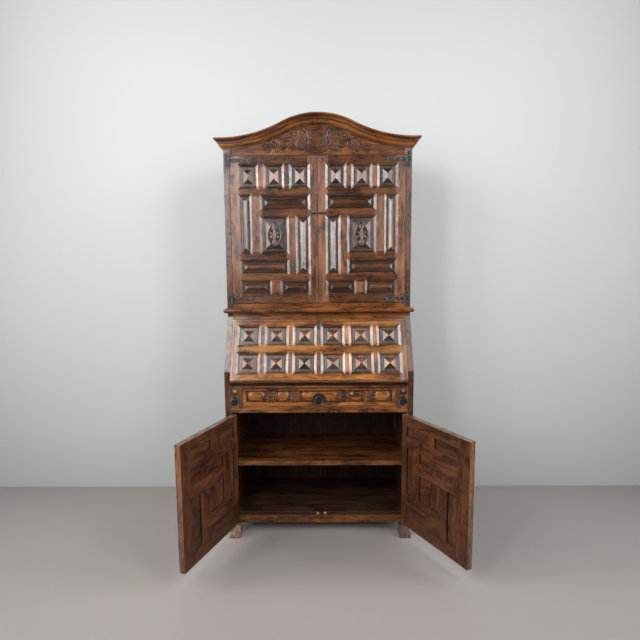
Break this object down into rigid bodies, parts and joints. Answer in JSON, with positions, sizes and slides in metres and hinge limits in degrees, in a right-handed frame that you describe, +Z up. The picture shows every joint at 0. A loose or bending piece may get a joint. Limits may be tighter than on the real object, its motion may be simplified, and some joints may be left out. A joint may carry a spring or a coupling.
{
  "type": "vargueno",
  "caption": "Tall wooden writing cabinet with a slanted fall front, a drawer with slide-out supports, carved lattice-panelled doors above and below and an arched cornice.",
  "frame": {"origin": "centre of the footprint of the object as it stands, lower doors open, at floor level", "axes": "+X across the case to the viewer's right, -Y out of the front, +Z up"},
  "size_m": [1.2026, 0.82, 2.036],
  "materials": {
    "case_walnut": "satin varnish",
    "panel_walnut": "satin varnish",
    "inside_wood": "stained, matt",
    "foot_wood": "worn",
    "iron": "black, forged",
    "brass": "polished"
  },
  "bodies": {
    "case": {"base_left_side": "case_walnut", "base_right_side": "case_walnut", "bottom_rail": "case_walnut", "bottom_board": "inside_wood", "lower_shelf": "inside_wood", "drawer_rail": "case_walnut", "drawer_sill": "case_walnut", "loper_partitions": "inside_wood", "writing_board": "case_walnut", "desk_header_rail": "case_walnut", "ledge_board": "case_walnut", "back_boards": "inside_wood", "pigeonhole_rack": "inside_wood", "feet": "foot_wood", "upper_left_side": "case_walnut", "upper_right_side": "case_walnut", "upper_bottom_board": "inside_wood", "upper_top_board": "inside_wood", "upper_shelves": "inside_wood", "pediment_board": "case_walnut", "cornice_front": "case_walnut", "cornice_returns": "case_walnut", "post_hinge_leaves": "iron", "flap_hinge_board_leaves": "iron", "hinge_pins": "iron", "ball_catches": "brass"},
    "upper_left_door": {"upper_left_door_frame": "case_walnut", "upper_left_door_panels": "panel_walnut", "upper_left_door_straps": "iron", "bolt_keeper": "iron"},
    "upper_right_door": {"upper_right_door_frame": "case_walnut", "upper_right_door_panels": "panel_walnut", "upper_right_door_straps": "iron", "bolt_and_key_plates": "iron"},
    "bolt": {"door_bolt": "iron"},
    "writing_flap": {"flap_frame": "case_walnut", "flap_panels": "panel_walnut", "flap_hinge_leaves": "iron", "flap_key_plate": "iron"},
    "drawer": {"drawer_front": "panel_walnut", "drawer_box": "inside_wood", "drawer_pull_plate": "iron"},
    "drawer_pull": {"drawer_ring": "iron"},
    "left_loper_body": {"left_loper": "case_walnut", "left_loper_pull_plate": "iron"},
    "left_loper_pull": {"left_loper_ring": "iron"},
    "right_loper_body": {"right_loper": "case_walnut", "right_loper_pull_plate": "iron"},
    "right_loper_pull": {"right_loper_ring": "iron"},
    "lower_left_door": {"lower_left_door_frame": "case_walnut", "lower_left_door_panels": "panel_walnut", "lower_left_door_straps": "iron", "lower_left_door_pull_plate": "iron"},
    "lower_left_pull": {"lower_left_door_ring": "iron"},
    "lower_right_door": {"lower_right_door_frame": "case_walnut", "lower_right_door_panels": "panel_walnut", "lower_right_door_straps": "iron", "lower_right_door_pull_plate": "iron"},
    "lower_right_pull": {"lower_right_door_ring": "iron"}
  },
  "joints": [
    {"name": "upper_left_door_hinge", "type": "hinge", "parent": "case", "child": "upper_left_door", "pos_m": [-0.45088, 0.11166, 1.497], "axis": [0, 0, -1], "range_deg": [0, 110]},
    {"name": "upper_right_door_hinge", "type": "hinge", "parent": "case", "child": "upper_right_door", "pos_m": [0.39312, 0.11166, 1.497], "axis": [0, 0, 1], "range_deg": [0, 110]},
    {"name": "bolt_slide", "type": "slide", "parent": "upper_right_door", "child": "bolt", "axis": [-1, 0, 0], "range_m": [0, 0.019]},
    {"name": "flap_hinge", "type": "hinge", "parent": "case", "child": "writing_flap", "pos_m": [-0.02888, -0.00304, 0.77], "axis": [1, 0, 0], "range_deg": [0, 114.48]},
    {"name": "drawer_slide", "type": "slide", "parent": "case", "child": "drawer", "axis": [0, -1, 0], "range_m": [0, 0.3]},
    {"name": "drawer_pull_hinge", "type": "hinge", "parent": "drawer", "child": "drawer_pull", "pos_m": [-0.02888, -0.00704, 0.7065], "axis": [-1, 0, 0], "range_deg": [0, 85]},
    {"name": "left_loper_slide", "type": "slide", "parent": "case", "child": "left_loper_body", "axis": [0, -1, 0], "range_m": [0, 0.24]},
    {"name": "left_loper_pull_hinge", "type": "hinge", "parent": "left_loper_body", "child": "left_loper_pull", "pos_m": [-0.43038, -0.00704, 0.6975], "axis": [-1, 0, 0], "range_deg": [0, 85]},
    {"name": "right_loper_slide", "type": "slide", "parent": "case", "child": "right_loper_body", "axis": [0, -1, 0], "range_m": [0, 0.24]},
    {"name": "right_loper_pull_hinge", "type": "hinge", "parent": "right_loper_body", "child": "right_loper_pull", "pos_m": [0.37262, -0.00704, 0.6975], "axis": [-1, 0, 0], "range_deg": [0, 85]},
    {"name": "lower_left_door_hinge", "type": "hinge", "parent": "case", "child": "lower_left_door", "pos_m": [-0.45088, -0.00534, 0.353], "axis": [0, 0, -1], "range_deg": [-111, 24]},
    {"name": "lower_left_pull_hinge", "type": "hinge", "parent": "lower_left_door", "child": "lower_left_pull", "pos_m": [-0.59223, -0.36883, 0.372], "axis": [0.3584, 0.9336, 0], "range_deg": [0, 85]},
    {"name": "lower_right_door_hinge", "type": "hinge", "parent": "case", "child": "lower_right_door", "pos_m": [0.39312, -0.00534, 0.353], "axis": [0, 0, 1], "range_deg": [-120, 15]},
    {"name": "lower_right_pull_hinge", "type": "hinge", "parent": "lower_right_door", "child": "lower_right_pull", "pos_m": [0.58959, -0.34224, 0.372], "axis": [0.5, -0.866, 0], "range_deg": [0, 85]}
  ]
}
